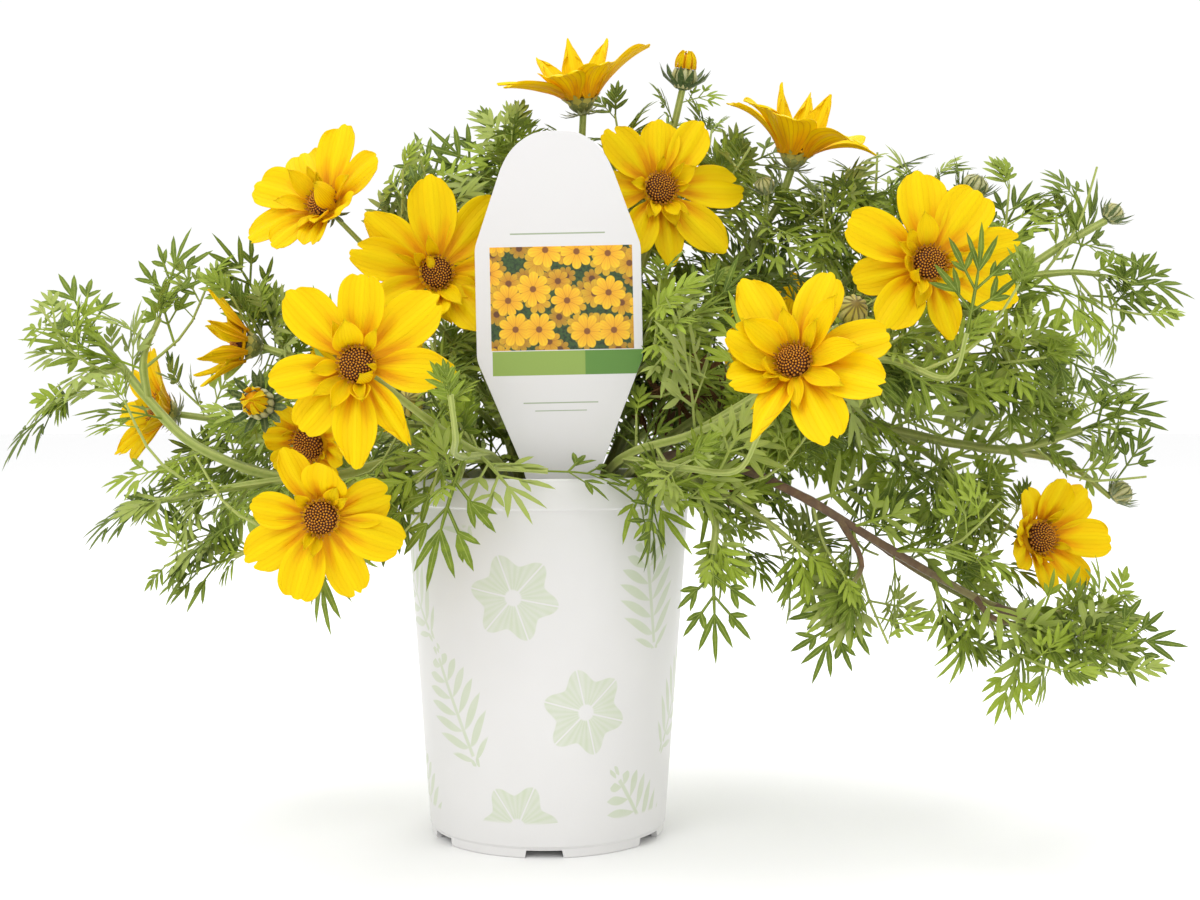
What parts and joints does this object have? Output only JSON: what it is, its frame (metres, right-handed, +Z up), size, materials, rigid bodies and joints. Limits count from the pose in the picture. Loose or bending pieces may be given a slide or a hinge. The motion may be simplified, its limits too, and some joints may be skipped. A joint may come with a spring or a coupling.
{
  "type": "potted bidens",
  "caption": "White plastic nursery pot of potting mix with a trailing bidens: fern-cut leaves on spreading stems, yellow semi-double flowers and buds, and a plant label.",
  "frame": {"origin": "on the pot's axis, level with the bottom edge of its foot; the underside of the pot's floor is recessed 2.4 mm above it", "axes": "+Z up along the pot's axis; -Y is the front, which the label faces; +X is to the right seen from the front"},
  "size_m": [0.4378, 0.2483, 0.2953],
  "materials": {
    "pot": "satin",
    "label": "satin",
    "soil": "matte",
    "foliage": "matte",
    "rays": "matte",
    "disc": "matte"
  },
  "bodies": {
    "root": {"bud_rays_left": "rays", "bud_rays_top": "rays", "disc_back_high": "disc", "disc_back_left": "disc", "disc_back_right": "disc", "disc_crown": "disc", "disc_label_right": "disc", "disc_left_far": "disc", "disc_left_front": "disc", "disc_left_hidden": "disc", "disc_left_high": "disc", "disc_left_inner": "disc", "disc_left_low": "disc", "disc_left_side": "disc", "disc_right_far": "disc", "disc_right_front": "disc", "disc_right_high": "disc", "disc_right_upper": "disc", "label": "label", "pot": "pot", "rays_back_high": "rays", "rays_back_left": "rays", "rays_back_right": "rays", "rays_crown": "rays", "rays_label_right": "rays", "rays_left_far": "rays", "rays_left_front": "rays", "rays_left_hidden": "rays", "rays_left_high": "rays", "rays_left_inner": "rays", "rays_left_low": "rays", "rays_left_side": "rays", "rays_right_far": "rays", "rays_right_front": "rays", "rays_right_high": "rays", "rays_right_upper": "rays", "soil": "soil", "stem_back": "foliage", "stem_back_left": "foliage", "stem_back_right": "foliage", "stem_front_left": "foliage", "stem_label_right": "foliage", "stem_left_back": "foliage", "stem_left_lower": "foliage", "stem_left_main": "foliage", "stem_left_mid": "foliage", "stem_right_far_top": "foliage", "stem_right_front": "foliage", "stem_right_long": "foliage", "stem_right_low": "foliage", "stem_right_mid": "foliage", "stem_right_top": "foliage", "stem_right_upper": "foliage", "stem_top": "foliage", "stem_top_left": "foliage", "stem_top_right": "foliage", "stem_woody": "foliage"}
  },
  "joints": []
}
